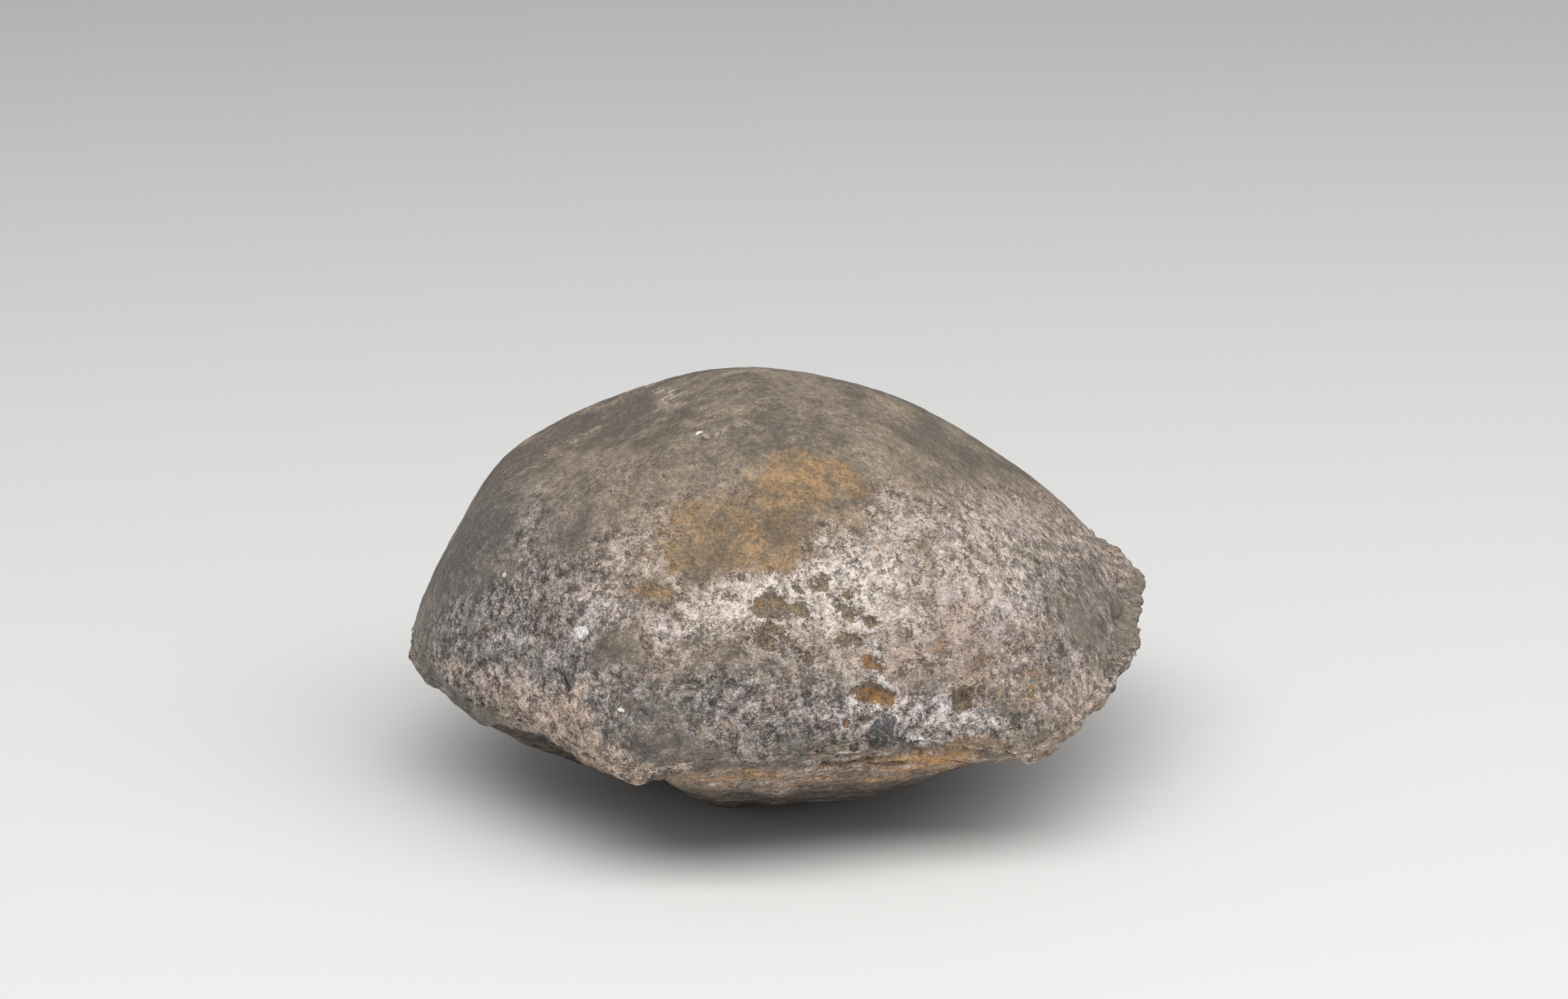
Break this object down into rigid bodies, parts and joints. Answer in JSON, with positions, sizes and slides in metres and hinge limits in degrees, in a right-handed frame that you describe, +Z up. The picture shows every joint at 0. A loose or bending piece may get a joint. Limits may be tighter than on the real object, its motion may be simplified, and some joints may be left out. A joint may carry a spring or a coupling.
{
  "type": "fossil dinosaur egg",
  "caption": "Lens-shaped fossil egg in one stone: crusted dome with a ragged broken rim over a shallow belly, resting on a worn flat patch.",
  "frame": {"origin": "on the surface the stone rests on, under the middle of its outline", "axes": "+Z up out of the dome, +X along the stone's length towards its stepped ledge"},
  "size_m": [0.1534, 0.1252, 0.0837],
  "materials": {
    "stone": "weathered sandstone, dull, grey-brown crust over pinkish grains"
  },
  "bodies": {
    "root": {"fossil_egg": "stone"}
  },
  "joints": []
}
